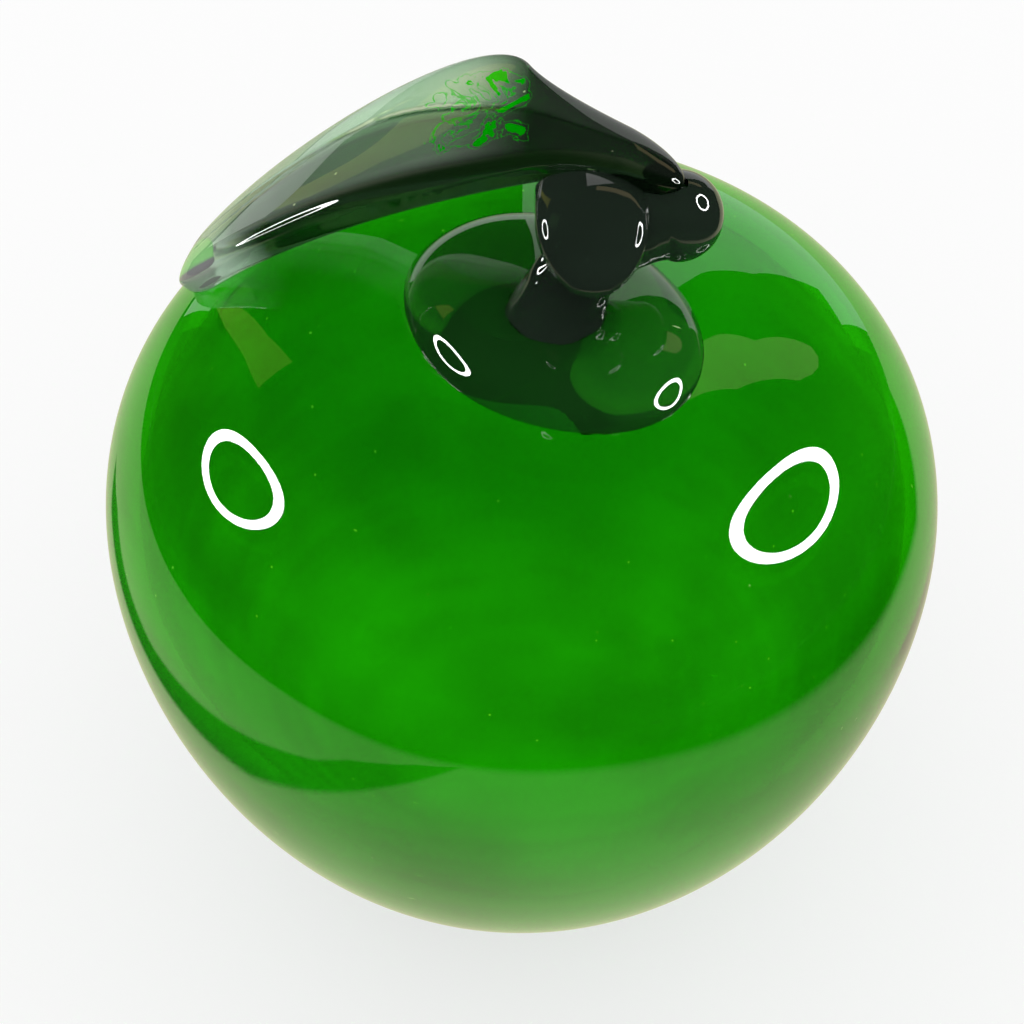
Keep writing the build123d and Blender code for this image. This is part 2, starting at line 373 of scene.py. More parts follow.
@dataclass
class StemPad:
    """Oval drop of dark glass that fills the dimple and plugs the pipe opening."""

    body: BlownBody
    length: float = 46.0
    width: float = 35.6
    rise: float = 4.4
    turn: float = -54.0
    middle: tuple = (3.9, -1.5)
    rim_run: float = 2.9
    rim_climb: float = 3.9
    crown_fullness: float = 0.6
    fused: float = 0.3
    wavers: tuple = ((0.008, 3, 0.6), (0.006, 5, 2.0))
    swell: float = 0.1
    swell_spans: tuple = (3.1, 3.7)
    columns: int = 192

    @property
    def top(self) -> float:
        """Height of the pad's crown."""
        return self.body.shoulder[1] + self.rise

    @property
    def plug_bottom(self) -> float:
        """Height of the plug's lower face, just inside the hollow."""
        return self.body.shoulder[1] - self.body.crown - self.body.hollow_dip - self.fused

    def crown_curve(self, count: int) -> Array:
        """Profile from the crown to the rim.

        Args:
            count: number of points.

        Returns:
            Points as (share of the rim's distance, height).
        """
        base = self.body.shoulder[1]
        lean = (1 - self.rim_run / (self.length / 2), base + self.rim_climb)
        corners = [(1, base), lean, (self.crown_fullness, self.top), (0, self.top)]
        return bezier(np.array(corners), np.linspace(0.985, 0, count))[0]

    def rim(self, angle: Array) -> Array:
        """Outline of the pad in plan: an ellipse turned and set off the axis, with a soft waver.

        The waver is a sum of sine waves, each with its size, its count round the rim and its phase.

        Args:
            angle: angles round the ellipse.

        Returns:
            Points as (x, y).
        """
        waver = 1 + sum(size * np.sin(count * angle + phase) for size, count, phase in self.wavers)
        along = self.length / 2 * np.cos(angle) * waver
        across = self.width / 2 * np.sin(angle) * waver
        turn = math.radians(self.turn)
        x = along * math.cos(turn) - across * math.sin(turn)
        y = along * math.sin(turn) + across * math.cos(turn)
        return np.stack([x + self.middle[0], y + self.middle[1]], axis=-1)

    def ripple(self, plan: Array) -> Array:
        """Low swells of the soft crown: the product of a wave along X and a wave along Y.

        Args:
            plan: points of the crown, as (x, y).

        Returns:
            Height added at each point, in millimetres.
        """
        across, along = self.swell_spans
        return self.swell * np.sin(plan[..., 0] / across + 1) * np.sin(plan[..., 1] / along)

    def depth(self, points: Array) -> Array:
        """Depth of points in the pad: the least distance to its crown, its rim and its underside.

        Args:
            points: points in millimetres.

        Returns:
            Depths, more than 0 inside the glass.
        """
        turn = math.radians(self.turn)
        x, y = points[:, 0] - self.middle[0], points[:, 1] - self.middle[1]
        along = x * math.cos(turn) + y * math.sin(turn)
        across = y * math.cos(turn) - x * math.sin(turn)
        share = np.hypot(along * 2 / self.length, across * 2 / self.width)
        curve = self.crown_curve(60)
        crown = np.interp(share, curve[:, 0], curve[:, 1]) - points[:, 2]
        radius = np.hypot(points[:, 0], points[:, 1])
        plugged = radius < self.body.opening_radius + self.fused
        underside = np.where(plugged, self.plug_bottom, self.body.height_at(radius) - self.fused)
        return np.minimum.reduce([crown, (1 - share) * self.width / 2, points[:, 2] - underside])

    def build(self) -> bpy.types.Object:
        """Mesh of the pad: crown to rim along its profile, back along the dimple, then down the plug.

        Returns:
            The pad.
        """
        rim = self.rim(around(self.columns))
        middle = np.array(self.middle)
        drop = self.crown_curve(56)
        crown_plan = middle + (rim - middle) * drop[:, :1, None]
        crown_height = drop[:, 1:] + self.ripple(crown_plan) * (1 - drop[:, :1] ** 4)
        plug = unit(rim) * (self.body.opening_radius + self.fused)
        under_plan = rim + (plug - rim) * np.linspace(0.03, 1, 20)[:, None, None]
        under_height = self.body.height_at(np.linalg.norm(under_plan, axis=-1)) - self.fused
        wall_plan = np.repeat(plug[None], 6, axis=0)
        wall_height = np.linspace(under_height[-1].min() - 0.5, self.plug_bottom, 6)[:, None] + 0 * rim[:, 0]
        plan = np.concatenate([crown_plan, under_plan, wall_plan])
        height = np.concatenate([crown_height, under_height, wall_height])
        rings = np.concatenate([plan, height[..., None]], axis=-1)
        first = np.array([*self.middle, self.top])
        return closed_tube("stem_pad_glass", rings, first, np.array([0, 0, self.plug_bottom]))


@dataclass
class Stem:
    """Rod drawn from the pad, flared at its foot, bent to the right and closed by a round knob."""

    body: BlownBody
    place: tuple = (4.8, -4.0)
    foot_rise: float = 2.6
    radius: float = 5.0
    foot_radius: float = 8.6
    neck_radius: float = 5.6
    flare_share: float = 0.32
    flare_power: float = 2.0
    sink: float = 1.6
    rise: float = 11.9
    reach: float = 14.9
    set_back: float = 6.0
    upright: float = 11.0
    level: float = 6.0
    knob_radius: float = 5.9
    furrow_depths: tuple = (0.16, 0.12)
    lump_height: float = 0.14
    columns: int = 128

    @property
    def foot(self) -> Array:
        """Foot of the stem, inside the pad."""
        return np.array([*self.place, self.body.shoulder[1] + self.foot_rise])

    @property
    def knob(self) -> Array:
        """Centre of the round end."""
        return self.foot + np.array([self.reach, self.set_back, self.rise])

    def stations(self) -> tuple[Array, Array, Array]:
        """Stations along the rod, with the knob's half ball at its end.

        Returns:
            Centres, directions and radii.
        """
        start = self.foot - np.array([0, 0, self.sink])
        corners = np.array([start, start + [0, 0, self.upright], self.knob - [self.level, 0, 0], self.knob])
        shares = np.linspace(0, 1, 110)
        centre, run = bezier(corners, shares)
        flare = np.maximum(0, 1 - shares / self.flare_share) ** self.flare_power
        radius = self.radius + (self.foot_radius - self.radius) * flare
        radius = radius + (self.neck_radius - self.radius) * shares**2
        to_knob = np.linalg.norm(centre - self.knob, axis=-1)
        radius = np.maximum(radius, np.sqrt(np.maximum(0, self.knob_radius**2 - to_knob**2)))
        turn = np.linspace(0, math.pi / 2, 28)[1:-1]
        ball = self.knob + run[-1] * (self.knob_radius * np.sin(turn))[:, None]
        centre, run = np.vstack([centre, ball]), np.vstack([run, np.repeat(run[-1:], len(turn), axis=0)])
        return centre, run, np.concatenate([radius, self.knob_radius * np.cos(turn)])

    def depth(self, points: Array) -> Array:
        """Depth of points in the rod: its radius at the nearest station less their distance from its middle.

        Args:
            points: points in millimetres.

        Returns:
            Depths, more than 0 inside the glass.
        """
        centre, run, radius = self.stations()
        place = nearest_station(points, centre, run)
        gap = points - centre[place]
        along = (gap * run[place]).sum(-1)
        aside = np.linalg.norm(gap - along[:, None] * run[place], axis=-1)
        return np.minimum(radius[place] - aside, STATION_REACH - np.abs(along))

    def build(self) -> bpy.types.Object:
        """Mesh of the stem: rings square to its path, with the fine furrows that drawing leaves.

        Returns:
            The stem.
        """
        centre, run, radius = self.stations()
        side = unit(np.cross(run, np.array([0.0, 1.0, 0.0])))
        other = np.cross(run, side)
        angle = around(self.columns)[None, :, None]
        along = np.linspace(0, 1, len(radius))[:, None, None]
        wide, fine = self.furrow_depths
        furrow = wide * np.sin(5 * angle + 9 * along) + fine * np.sin(9 * angle - 23 * along + 1)
        lumps = self.lump_height * np.sin(37 * along + 3 * np.sin(2 * angle)) * np.sin(4 * angle + 1)
        spread = radius[:, None, None] + (furrow + lumps) * bell(along, 0.25, 0.25)
        rings = centre[:, None] + spread * (np.cos(angle) * side[:, None] + np.sin(angle) * other[:, None])
        return closed_tube("stem_glass", rings, centre[0], self.knob + run[-1] * self.knob_radius)


@dataclass
class SlabStations:
    """Row of cross-sections of a soft slab, each a squared oval.

    A section spans its middle plus and minus half, and is as high along rise as half its thickness times a
    power of the sine of the angle round it.
    """

    middle: Array
    half: Array
    run: Array
    rise: Array
    near_thickness: Array
    far_thickness: Array
    share: Array
    power: float

    def thickness(self, place: Array, index: Array | slice) -> Array:
        """Thickness of chosen sections at a place from -1, the near edge, to 1, the far edge."""
        near, far = self.near_thickness[index], self.far_thickness[index]
        return near + (far - near) * (1 + place) / 2

    def depth(self, points: Array) -> Array:
        """Depth of points in the slab: half its thickness at their place across it, less their height.

        Args:
            points: points in millimetres.

        Returns:
            Depths, more than 0 inside the glass.
        """
        index = nearest_station(points, self.middle, self.run)
        gap = points - self.middle[index]
        width = np.linalg.norm(self.half[index], axis=-1)
        place = (gap * unit(self.half[index])).sum(-1) / np.maximum(width, 1e-6)
        height = np.abs((gap * self.rise[index]).sum(-1))
        along = np.abs((gap * self.run[index]).sum(-1))
        thick = self.thickness(np.clip(place, -1, 1), index)
        room = np.maximum(0, 1 - place**2) ** (self.power / 2) * thick / 2
        return np.minimum.reduce([room - height, (1 - np.abs(place)) * width, STATION_REACH - along])

    def rings(self, columns: int, upper: Array | float, lower: Array | float) -> Array:
        """Rings of points round the sections, with relief on the two faces.

        Args:
            columns: points on each ring.
            upper: height added to the upper face, for each section and column.
            lower: height added to the lower face.

        Returns:
            Points as (section, column, axis).
        """
        angle = around(columns)[None]
        place, lift = np.cos(angle), np.sin(angle)
        thick = self.thickness(place, (slice(None), None))
        height = np.sign(lift) * np.abs(lift) ** self.power * thick / 2
        height = height + np.where(lift > 0, upper, lower) * np.abs(lift)
        across = self.half[:, None] * place[..., None]
        return self.middle[:, None] + across + self.rise[:, None] * height[..., None]


@dataclass
class Leaf:
    """Thick slab of glass: a strap over the knob and a blade whose tip lies on the shoulder."""

    body: BlownBody
    stem: Stem
    tip_seat: float = 0.54
    tip_bearing: float = 163.0
    tip_width: float = 9.0
    tip_thickness: float = 5.0
    tip_sink: float = 1.5
    near_thickness: float = 7.4
    far_thickness: float = 2.6
    strap_thickness: float = 5.6
    edge_power: float = 0.45
    strap_pull: float = 0.5
    strap_round: float = 0.25
    blade_round: float = 0.1
    crease_start: float = 0.05
    crease_drift: float = 0.35
    crease_span: tuple = (1.1, 1.5)
    midrib_depth: float = 0.16
    fold_depth: float = 0.13
    swell: float = 0.05
    near_corners: tuple = ((14.7, 1.5, 17.4), (-3.8, 10.8, 14.2), (-18.8, 13.6, 8.7), (-37.8, 8.5, 7.4))
    far_corners: tuple = ((16.2, 9.0, 17.4), (-3.8, 26.0, 20.4), (-10.1, 36.2, 22.0), (-47.3, 33.4, -5.0))
    columns: int = 160

    def tip(self) -> tuple[Array, Array]:
        """Place of the leaf's tip above its seat on the body.

        Returns:
            The middle of the tip, and half its width sideways.
        """
        corners = quarter(self.body.belly, self.body.shoulder, *self.body.upper_fullness)
        place, along = bezier(corners, np.array([self.tip_seat]))
        bearing = math.radians(self.tip_bearing)
        away = np.array([math.cos(bearing), math.sin(bearing), 0])
        upwards = np.array([0, 0, 1.0])
        outward = away * along[0, 1] - upwards * along[0, 0]
        seat = away * place[0, 0] + upwards * place[0, 1]
        middle = seat + outward * (self.tip_thickness / 2 - self.tip_sink)
        return middle, unit(np.cross(upwards, outward)) * self.tip_width / 2

    def edge(self, corners: tuple, side: float, strap: Array, blade: Array) -> tuple[Array, Array]:
        """Points and directions along one edge of the leaf.

        Args:
            corners: strap, base, bow and sag of the edge, measured from the stem's foot.
            side: 1 for the near edge and -1 for the far edge.
            strap: curve parameters on the strap.
            blade: curve parameters on the blade.

        Returns:
            The points and the unit directions.
        """
        middle, half = self.tip()
        end, base, bow, sag = self.stem.foot + np.array(corners)
        first = bezier(np.array([end, base + (base - bow) * self.strap_pull, base]), strap)
        second = bezier(np.array([base, bow, sag, middle + side * half]), blade)
        return np.vstack([first[0], second[0]]), np.vstack([first[1], second[1]])

    def stations(self) -> SlabStations:
        """Cross-sections of the leaf, drawn in to round ends at the strap and the tip.

        Returns:
            The row of sections.
        """
        strap = (1 - np.cos(np.linspace(0.1, math.pi / 2, 60)))[:-1]
        blade = np.sin(np.linspace(0, math.pi / 2 - 0.03, 180))
        near, near_run = self.edge(self.near_corners, 1, strap, blade)
        far, far_run = self.edge(self.far_corners, -1, strap, blade)
        left = np.concatenate([strap / self.strap_round, (1 - blade) / self.blade_round])
        shrink = np.sqrt(1 - np.maximum(0, 1 - left) ** 2)
        half = (far - near) / 2 * shrink[:, None]
        across = unit(half)
        run = unit(near_run + far_run)
        run = unit(run - across * (run * across).sum(-1, keepdims=True))
        rise = np.cross(across, run)
        rise = rise * np.sign(rise[:, 2:])
        thick = [
            np.concatenate([
                self.strap_thickness + (edge - self.strap_thickness) * strap,
                edge + (self.tip_thickness - edge) * blade**2,
            ]) * shrink
            for edge in (self.near_thickness, self.far_thickness)
        ]
        share = np.concatenate([strap, 1 + blade])
        return SlabStations((near + far) / 2, half, run, rise, *thick, share, self.edge_power)

    def depth(self, points: Array) -> Array:
        """Depth of points in the leaf."""
        return self.stations().depth(points)

    def crease(self, share: Array) -> Array:
        """Place across the leaf of the long crease, beyond which the glass is less thick and pale."""
        return self.crease_start + self.crease_drift * eased(share, *self.crease_span)

    def relief(self, share: Array, place: Array) -> Array:
        """Hand marks on the upper face: two long creases and low swells.

        Args:
            share: place along the leaf, 0 to 1 on the strap and 1 to 2 on the blade.
            place: place across the leaf, -1 at the near edge and 1 at the far edge.

        Returns:
            Height added to the upper face, in millimetres.
        """
        on_blade = eased(share, 0.95, 1.15) * (1 - eased(share, 1.9, 2.0))
        midrib = bell(place, self.crease(share), 0.02)
        fold = bell(place, 0.5 - 1.2 * np.clip(share - 1.35, 0, 1) ** 1.1, 0.018) * eased(share, 1.3, 1.45)
        swell = self.swell * np.sin(7 * share + 2 * place) * np.sin(3 * place + 2 * share)
        return on_blade * (swell - self.midrib_depth * midrib - self.fold_depth * fold)

    def paleness(self, share: Array, place: Array, upper: Array) -> Array:
        """Share of clear glass over dark: little on the strap and the near roll, most beyond the crease.

        A narrow darker line along the crease is painted shade.

        Args:
            share: place along the leaf, 0 to 1 on the strap and 1 to 2 on the blade.
            place: place across the leaf, -1 at the near edge and 1 at the far edge.
            upper: whether a point is on the upper face.

        Returns:
            Shares from 0, dark, to 1, clear.
        """
        beyond = place - self.crease(share)
        # The bell term is painted shade: a darker line along the crease.
        across = 0.35 + 0.65 * eased(beyond, -0.05, 0.15) - 0.3 * bell(beyond, -0.03, 0.03)
        rolled = np.where(upper, eased(place, -0.85, -0.6), eased(place, -0.55, 0.0))
        drawn = 0.06 + 0.94 * eased(share, 0.95, 1.3)
        return np.maximum(across * rolled * drawn, 0.95 * eased(share, 1.7, 1.88))

    def patches(self, share: Array, place: Array, upper: Array) -> Array:
        """Where the upper face by the base may show bright folds of the apple's own green."""
        along = eased(share, 0.78, 0.98) * (1 - eased(share, 1.25, 1.5))
        return along * eased(place, -0.85, -0.5) * (1 - eased(place, 0.6, 1.0)) * upper

    def build(self) -> bpy.types.Object:
        """Mesh of the leaf from its cross-sections, with the hand marks on its upper face.

        Returns:
            The leaf.
        """
        row = self.stations()
        angle = around(self.columns)[None]
        share, place = row.share[:, None], np.cos(angle)
        rings = row.rings(self.columns, self.relief(share, place), 0.0)
        first, last = row.middle[0] - row.run[0] * 0.05, row.middle[-1] + row.run[-1] * 0.05
        item = closed_tube("leaf_glass", rings, first, last)
        upper = np.sin(angle) > 0
        give_attribute(item, PALE, np.append(self.paleness(share, place, upper), [0.0, 1.0]))
        give_attribute(item, PATCH, np.append(self.patches(share, place, upper), [0.0, 0.0]))
        return item


@dataclass
class Lobe:
    """Fold of leaf glass that hangs forward over the stem."""

    stem: Stem
    width: float = 14.4
    thickness: float = 6.4
    edge_power: float = 0.75
    corners: tuple = ((3.9, 7.0, 14.8), (3.9, -2.5, 16.0), (3.8, -7.0, 9.4))
    tip_round: float = 0.7
    dish: float = 0.6
    columns: int = 128

    def stations(self) -> SlabStations:
        """Cross-sections of the lobe along its bent path, drawn in to a round tip.

        Returns:
            The row of sections.
        """
        shares = np.sin(np.linspace(0, math.pi / 2 - 0.05, 100))
        centre, run = bezier(self.stem.foot + np.array(self.corners), shares)
        shrink = np.sqrt(1 - np.maximum(0, 1 - (1 - shares) / self.tip_round) ** 2)
        sideways = np.array([1.0, 0, 0])
        across = unit(sideways - run * (run @ sideways)[:, None])
        thick = self.thickness * shrink
        half = across * (self.width / 2 * shrink)[:, None]
        return SlabStations(centre, half, run, np.cross(run, across), thick, thick, shares, self.edge_power)

    def depth(self, points: Array) -> Array:
        """Depth of points in the lobe."""
        return self.stations().depth(points)

    def build(self) -> bpy.types.Object:
        """Mesh of the lobe from its cross-sections, with a shallow dish pressed into its face.

        Returns:
            The lobe.
        """
        row = self.stations()
        across = np.maximum(0, 1 - (np.cos(around(self.columns))[None] / 0.8) ** 2)
        dish = -self.dish * eased(across, 0, 0.5) * bell(row.share[:, None], 0.55, 0.25)
        last = row.middle[-1] + row.run[-1] * 0.05
        return closed_tube("leaf_lobe_glass", row.rings(self.columns, dish, 0.0), row.middle[0], last)


# Finishes


class NodeBench:
    """Short hand for adding and joining the nodes of one tree."""

    def __init__(self, tree: bpy.types.NodeTree) -> None:
        """Keep the tree."""
        self.tree = tree

    def add(self, kind: str, values: dict | None = None, **settings: object) -> bpy.types.Node:
        """Add a node.

        Args:
            kind: type of the node without its prefix.
            values: default values or sockets to join, by input name or number.
            settings: properties of the node.

        Returns:
            The node.
        """
        node = self.tree.nodes.new("ShaderNode" + kind)
        for name, value in settings.items():
            setattr(node, name, value)
        for name, value in (values or {}).items():
            if isinstance(value, bpy.types.NodeSocket):
                self.tree.links.new(value, node.inputs[name])
            else:
                node.inputs[name].default_value = value
        return node

    def math(self, operation: str, first: object, second: object = 0.0) -> bpy.types.NodeSocket:
        """Result of a calculation on two sockets or numbers."""
        return self.add("Math", {0: first, 1: second}, operation=operation).outputs[0]

    def ramp(self, value: bpy.types.NodeSocket, start: float, end: float) -> bpy.types.NodeSocket:
        """Value carried from the span start to end onto 0 to 1, eased and held at both ends."""
        values = {"Value": value, "From Min": start, "From Max": end}
        return self.add("MapRange", values, interpolation_type="SMOOTHSTEP").outputs[0]

    def mix(self, share: object, first: object, second: object, blend: str = "MIX") -> bpy.types.NodeSocket:
        """Colour blended from two colours."""
        return self.add("Mix", {0: share, 6: first, 7: second}, data_type="RGBA", blend_type=blend).outputs[2]


class WorkedGlass:
    """Node group for the marks in hand-worked glass: clouds, cords, seeds, lint and smudges.

    Scales are per metre, and turns are angles about the three axes.
    """

    NAME = "worked_glass"
    CLOUD_SCALE = 24.0
    CORD_SCALE = (18, 18, 150)
    CORD_TURN = (0.25, -0.15, 0)
    SEED_SCALE = (360, 360, 360)
    SEED_SIZE = 0.1
    LINT_SCALE = (45, 700, 420)
    LINT_TURN = (0.5, 0.3, 0.8)
    LINT_SIZE = 0.13
    MARK_COLOUR = (1, 1, 0.7, 1)
    SMUDGE_SCALE = 55.0
    SMUDGE_ROUGHNESS = 0.02
    MARK_ROUGHNESS = 0.2
    FOLD_SCALE = 140.0

    @classmethod
    def tree(cls) -> bpy.types.NodeTree:
        """The group, made once."""
        return bpy.data.node_groups.get(cls.NAME) or cls.make()

    @classmethod
    def make(cls) -> bpy.types.NodeTree:
        """Build the group from object coordinates.

        Clouds and cords are noise, the cords stretched level; seeds are the middles of a few cells of a cell
        pattern, and lint is the same with long narrow cells.

        Returns:
            The node group.
        """
        tree = bpy.data.node_groups.new(cls.NAME, "ShaderNodeTree")
        face = tree.interface
        for name in ("Tint", "Side Light Tint", "Pale Tint", "Patch Tint"):
            face.new_socket(name, in_out="INPUT", socket_type="NodeSocketColor")
        for name in ("Side Light", "Pale", "Patch", "Cloud", "Seeds", "Lint", "Roughness"):
            face.new_socket(name, in_out="INPUT", socket_type="NodeSocketFloat")
        face.new_socket("Color", in_out="OUTPUT", socket_type="NodeSocketColor")
        face.new_socket("Roughness", in_out="OUTPUT", socket_type="NodeSocketFloat")
        face.new_socket("Height", in_out="OUTPUT", socket_type="NodeSocketFloat")
        bench = NodeBench(tree)
        given = tree.nodes.new("NodeGroupInput").outputs
        place = bench.add("TexCoord").outputs["Object"]
        clouds = bench.add("TexNoise", {"Vector": place, "Scale": cls.CLOUD_SCALE, "Detail": 3.0}).outputs[0]
        level = bench.add("Mapping", {"Vector": place, "Rotation": cls.CORD_TURN, "Scale": cls.CORD_SCALE})
        cords = bench.add("TexNoise", {"Vector": level.outputs[0], "Scale": 1.0, "Detail": 2.0}).outputs[0]
        wave = bench.math("ADD", bench.math("MULTIPLY", clouds, 0.7), bench.math("MULTIPLY", cords, 0.3))
        thick = bench.math("SUBTRACT", 1.0, bench.ramp(wave, 0.38, 0.6))
        clear = bench.math("SUBTRACT", 1.0, bench.math("MULTIPLY", thick, given["Cloud"]))
        # Painted light: a brighter green where the body's upper side is marked.
        colour = bench.mix(given["Side Light"], given["Tint"], given["Side Light Tint"])
        colour = bench.mix(given["Pale"], colour, given["Pale Tint"])
        colour = bench.mix(1.0, colour, clear, "MULTIPLY")
        colour = bench.mix(cls.folds(bench, place, given["Patch"]), colour, given["Patch Tint"])
        seeds = cls.flecks(bench, place, cls.SEED_SCALE, (0, 0, 0), cls.SEED_SIZE, given["Seeds"])
        lint = cls.flecks(bench, place, cls.LINT_SCALE, cls.LINT_TURN, cls.LINT_SIZE, given["Lint"])
        marks = bench.math("MAXIMUM", seeds, lint)
        colour = bench.mix(marks, colour, cls.MARK_COLOUR)
        haze = bench.add("TexNoise", {"Vector": place, "Scale": cls.SMUDGE_SCALE, "Detail": 5.0}).outputs[0]
        smudge = bench.math("MULTIPLY", bench.ramp(haze, 0.55, 0.75), cls.SMUDGE_ROUGHNESS)
        rough = bench.math("ADD", given["Roughness"], smudge)
        rough = bench.math("ADD", rough, bench.math("MULTIPLY", marks, cls.MARK_ROUGHNESS))
        end = tree.nodes.new("NodeGroupOutput")
        tree.links.new(colour, end.inputs["Color"])
        tree.links.new(rough, end.inputs["Roughness"])
        tree.links.new(wave, end.inputs["Height"])
        return tree

    @classmethod
    def folds(
        cls, bench: NodeBench, place: bpy.types.NodeSocket, amount: bpy.types.NodeSocket
    ) -> bpy.types.NodeSocket:
        """Mask of ragged folds and the fine lines round them: a twisted noise cut at two heights.

        Args:
            bench: tree to build in.
            place: coordinates.
            amount: 0 where there are none and 1 where they fill half the surface.

        Returns:
            The mask.
        """
        values = {"Vector": place, "Scale": cls.FOLD_SCALE, "Detail": 4.0, "Distortion": 1.8}
        noise = bench.add("TexNoise", values).outputs[0]
        height = bench.math("ADD", noise, bench.math("SUBTRACT", amount, 1.0))
        filled = bench.ramp(height, 0.53, 0.545)
        away = bench.math("ABSOLUTE", bench.math("SUBTRACT", height, 0.43))
        line = bench.math("SUBTRACT", 1.0, bench.ramp(away, 0.008, 0.016))
        return bench.math("MAXIMUM", filled, bench.math("MULTIPLY", line, 0.8))

    @staticmethod
    def flecks(
        bench: NodeBench,
        place: bpy.types.NodeSocket,
        scale: tuple,
        turn: tuple,
        size: float,
        amount: bpy.types.NodeSocket,
    ) -> bpy.types.NodeSocket:
        """Mask of small flecks in a share of the cells of a cell pattern.

        Args:
            bench: tree to build in.
            place: coordinates.
            scale: cells per metre along each axis.
            turn: rotation of the pattern.
            size: radius of a fleck in cells.
            amount: share of the cells that hold one.

        Returns:
            The mask.
        """
        turned = bench.add("Mapping", {"Vector": place, "Rotation": turn, "Scale": scale}).outputs[0]
        cells = bench.add("TexVoronoi", {"Vector": turned, "Scale": 1.0})
        chance = bench.add("SeparateColor", {0: cells.outputs["Color"]}).outputs[0]
        spot = bench.math("SUBTRACT", 1.0, bench.ramp(cells.outputs["Distance"], size * 0.6, size))
        return bench.math("MULTIPLY", spot, bench.math("LESS_THAN", chance, amount))


@dataclass(frozen=True)
class GlassFinish:
    """Coloured glass: a polished tinted surface round a volume that absorbs light by colour.

    The tint is what one wall lets through, and the absorption is per millimetre, for red, green and blue.
    Where a surface is buried in the next piece, with which it is fused, it is left clear.
    """

    name: str
    tint: tuple
    absorption: tuple
    pale_tint: tuple = (1.0, 1.0, 1.0)
    # Brighter green of the painted light on the body's upper side.
    side_light_tint: tuple = (0.024, 0.58, 0.001)
    patch_tint: tuple = (0.0, 0.85, 0.0)
    transmission: float = 1.0
    cloud: float = 0.3
    seeds: float = 0.07
    lint: float = 0.02
    roughness: float = 0.003
    ripple: float = 0.05
    ior: float = 1.5

    def material(self) -> bpy.types.Material:
        """Material of the glass.

        Returns:
            The material.
        """
        made = bpy.data.materials.new(self.name)
        made.use_nodes = True
        bench = NodeBench(made.node_tree)
        nodes, links = made.node_tree.nodes, made.node_tree.links
        group = bench.add("Group", node_tree=WorkedGlass.tree())
        values = {
            "Tint": (*self.tint, 1),
            # Colour of the painted light on the body's upper side.
            "Side Light Tint": (*self.side_light_tint, 1),
            "Pale Tint": (*self.pale_tint, 1),
            "Patch Tint": (*self.patch_tint, 1),
            "Cloud": self.cloud,
            "Seeds": self.seeds,
            "Lint": self.lint,
            "Roughness": self.roughness,
        }
        for name, value in values.items():
            group.inputs[name].default_value = value
        # The first attribute here carries the painted light of the body's upper side.
        for name, attribute in (("Side Light", SIDE_LIGHT), ("Pale", PALE), ("Patch", PATCH)):
            links.new(bench.add("Attribute", attribute_name=attribute).outputs["Fac"], group.inputs[name])
        height = group.outputs["Height"]
        bump = bench.add("Bump", {"Height": height, "Strength": self.ripple, "Distance": METRES_PER_MM})
        buried = bench.add("Attribute", attribute_name=BURIED).outputs["Fac"]
        shader = nodes["Principled BSDF"]
        shader.inputs["IOR"].default_value = self.ior
        shader.inputs["Transmission Weight"].default_value = self.transmission
        links.new(group.outputs["Color"], shader.inputs["Base Color"])
        links.new(group.outputs["Roughness"], shader.inputs["Roughness"])
        links.new(bump.outputs[0], shader.inputs["Normal"])
        links.new(bench.math("LESS_THAN", buried, 0.0), shader.inputs["Alpha"])
        per_metre = np.array(self.absorption) / METRES_PER_MM
        density = per_metre.max()
        volume = bench.add("VolumeAbsorption", {"Density": density, "Color": (*(1 - per_metre / density), 1)})
        links.new(volume.outputs[0], nodes["Material Output"].inputs["Volume"])
        return made


# Stage


@dataclass(frozen=True)
class Glow:
    """Even light of a stage piece, with its colour, its strength, and its strength seen through glass."""

    name: str
    colour: tuple = (1.0, 1.0, 1.0)
    strength: float = 1.0
    through: float | None = None
    attribute: str | None = None

    def material(self) -> bpy.types.Material:
        """Material that only gives light, whose gloss an attribute of the mesh scales where one is named.

        Returns:
            The material.
        """
        made = bpy.data.materials.new(self.name)
        made.use_nodes = True
        bench = NodeBench(made.node_tree)
        nodes = made.node_tree.nodes
        nodes.remove(nodes["Principled BSDF"])
        strength: object = self.strength
        if self.attribute is not None:
            scale = bench.add("Attribute", attribute_name=self.attribute).outputs["Fac"]
            strength = bench.math("MULTIPLY", scale, strength)
        if self.through is not None:
            is_through = bench.add("LightPath").outputs["Is Transmission Ray"]
            span = {"Value": is_through, "To Min": strength, "To Max": self.through}
            strength = bench.add("MapRange", span).outputs[0]
        glow = bench.add("Emission", {"Color": (*self.colour, 1), "Strength": strength})
        made.node_tree.links.new(glow.outputs[0], nodes["Material Output"].inputs["Surface"])
        return made


def set_aside(item: bpy.types.Object, glow: Glow, through: bool = True) -> None:
    """Dress a stage piece that shows only in the gloss of the glass and, if wanted, through the glass.

    Args:
        item: the stage piece.
        glow: its light.
        through: whether it shows through the glass.
    """
    item.data.materials.append(glow.material())
    item.visible_camera = False
    item.visible_diffuse = False
    item.visible_shadow = False
    item.visible_transmission = through


@dataclass
class RingLamp:
    """Round tube lamp that faces the apple and shows in its gloss as a bright ring."""

    name: str
    direction: tuple
    distance: float
    ring_radius: float = 125.0
    tube_radius: float = 15.0
    strength: float = 40.0
    through: float = 1.5
    faces: tuple = (0.0, 0.0, 65.0)

    def build(self) -> None:
        """Torus square to the line from the apple: a circle carried round a circle."""
        line = unit(np.array(self.direction, float))
        side = unit(np.cross(line, np.array([0.0, 0, 1])))
        other = np.cross(side, line)
        ring, tube = around(96)[:, None, None], around(16)[None, :, None]
        outward = np.cos(ring) * side + np.sin(ring) * other
        reach = self.ring_radius + self.tube_radius * np.cos(tube)
        away = self.distance + self.tube_radius * np.sin(tube)
        item = stage_sheet(self.name, np.array(self.faces) + line * away + outward * reach, True, True)
        set_aside(item, Glow(self.name + "_light", strength=self.strength, through=self.through))


